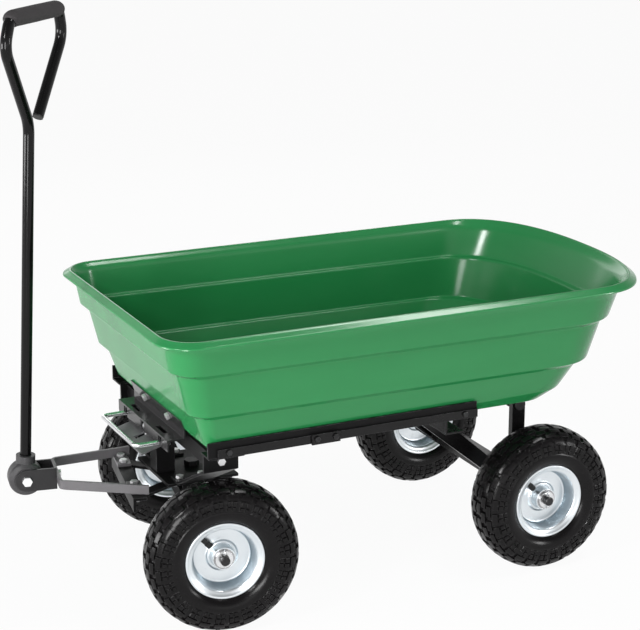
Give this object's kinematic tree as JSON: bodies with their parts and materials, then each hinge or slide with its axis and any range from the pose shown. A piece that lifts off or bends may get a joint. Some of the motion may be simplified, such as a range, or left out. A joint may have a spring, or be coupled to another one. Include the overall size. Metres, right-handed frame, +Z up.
{
  "type": "tipping garden dump cart",
  "caption": "Pull-along garden dump cart with a stepped green plastic tipping tray, black steel chassis, steered front axle, D-grip handle and lugged pneumatic wheels",
  "frame": {"origin": "on the floor under the middle of the cart's box", "axes": "X points to the rear of the cart and Y to its right-hand side with the handle at the front; Z is up"},
  "size_m": [1.129, 0.576, 1.0146],
  "materials": {
    "tray_plastic": "moulded green plastic with a soft gloss",
    "black_powder": "satin black powder coat on steel",
    "zinc_steel": "bright zinc plate",
    "dark_steel": "blackened and oiled steel",
    "rim_zinc": "bright zinc-plated pressed steel",
    "bearing_steel": "ground steel",
    "latch_grey": "dark grey paint",
    "grip_foam": "matt dark grey moulded sleeve",
    "knuckle_plastic": "matt dark plastic",
    "tyre_rubber": "black tyre rubber",
    "tube_rubber": "black butyl rubber"
  },
  "bodies": {
    "chassis": {"rail_left": "black_powder", "rail_right": "black_powder", "side_strap_left": "black_powder", "side_strap_right": "black_powder", "splice_plates": "black_powder", "strap_bolts": "dark_steel", "front_cross_member": "black_powder", "rear_cross_member": "black_powder", "front_leg_left": "black_powder", "front_leg_right": "black_powder", "leg_bolts": "zinc_steel", "pivot_plate_front": "black_powder", "front_post": "black_powder", "latch_plate": "latch_grey", "rear_axle_beam": "black_powder", "rear_axle_rod": "dark_steel", "rear_post_left": "black_powder", "rear_post_right": "black_powder", "rear_strut_left": "black_powder", "rear_strut_right": "black_powder", "hinge_rod": "dark_steel", "rear_axle_retainers": "zinc_steel"},
    "tray_body": {"tray": "tray_plastic", "tray_front_bracket": "black_powder", "tray_hinge_bracket": "black_powder", "tray_bolts": "zinc_steel"},
    "latch": {"latch_bail": "zinc_steel", "latch_hook": "zinc_steel"},
    "front_axle": {"king_pin": "dark_steel", "axle_bracket": "black_powder", "front_axle_beam": "black_powder", "front_axle_rod": "dark_steel", "front_axle_retainers": "zinc_steel", "tongue_cross_bar": "black_powder", "steer_brace_left": "black_powder", "steer_brace_right": "black_powder", "tongue_strap": "black_powder", "tongue_bolts": "zinc_steel", "clevis": "black_powder", "handle_bolt": "zinc_steel"},
    "handle": {"knuckle": "knuckle_plastic", "handle_tube": "black_powder", "grip": "grip_foam", "tube_plug": "knuckle_plastic"},
    "wheel_front_left": {"tyre_front_left": "tyre_rubber", "rim_front_left": "rim_zinc", "bearings_front_left": "bearing_steel", "inner_tube_front_left": "tube_rubber"},
    "wheel_front_right": {"tyre_front_right": "tyre_rubber", "rim_front_right": "rim_zinc", "bearings_front_right": "bearing_steel", "inner_tube_front_right": "tube_rubber"},
    "wheel_rear_left": {"tyre_rear_left": "tyre_rubber", "rim_rear_left": "rim_zinc", "bearings_rear_left": "bearing_steel", "inner_tube_rear_left": "tube_rubber"},
    "wheel_rear_right": {"tyre_rear_right": "tyre_rubber", "rim_rear_right": "rim_zinc", "bearings_rear_right": "bearing_steel", "inner_tube_rear_right": "tube_rubber"}
  },
  "joints": [
    {"name": "tray_tilt", "type": "hinge", "parent": "chassis", "child": "tray_body", "pos_m": [0.31552, 0, 0.285], "axis": [0, 1, 0], "range_deg": [0, 60]},
    {"name": "latch_release", "type": "hinge", "parent": "tray_body", "child": "latch", "pos_m": [-0.32648, 0, 0.286], "axis": [0, 1, 0], "range_deg": [0, 25]},
    {"name": "steer", "type": "hinge", "parent": "chassis", "child": "front_axle", "pos_m": [-0.24648, 0, 0.2], "axis": [0, 0, 1], "range_deg": [-30, 50]},
    {"name": "handle_pitch", "type": "hinge", "parent": "front_axle", "child": "handle", "pos_m": [-0.53306, 0.05053, 0.21], "axis": [0.1736, 0.9848, 0], "range_deg": [-98, 0]},
    {"name": "front_left_spin", "type": "hinge", "parent": "front_axle", "child": "wheel_front_left", "pos_m": [-0.28694, -0.22946, 0.13], "axis": [0.1736, 0.9848, 0], "continuous": true},
    {"name": "front_right_spin", "type": "hinge", "parent": "front_axle", "child": "wheel_front_right", "pos_m": [-0.20602, 0.22946, 0.13], "axis": [0.1736, 0.9848, 0], "continuous": true},
    {"name": "rear_left_spin", "type": "hinge", "parent": "chassis", "child": "wheel_rear_left", "pos_m": [0.32652, -0.233, 0.13], "axis": [0, 1, 0], "continuous": true},
    {"name": "rear_right_spin", "type": "hinge", "parent": "chassis", "child": "wheel_rear_right", "pos_m": [0.32652, 0.233, 0.13], "axis": [0, 1, 0], "continuous": true}
  ]
}
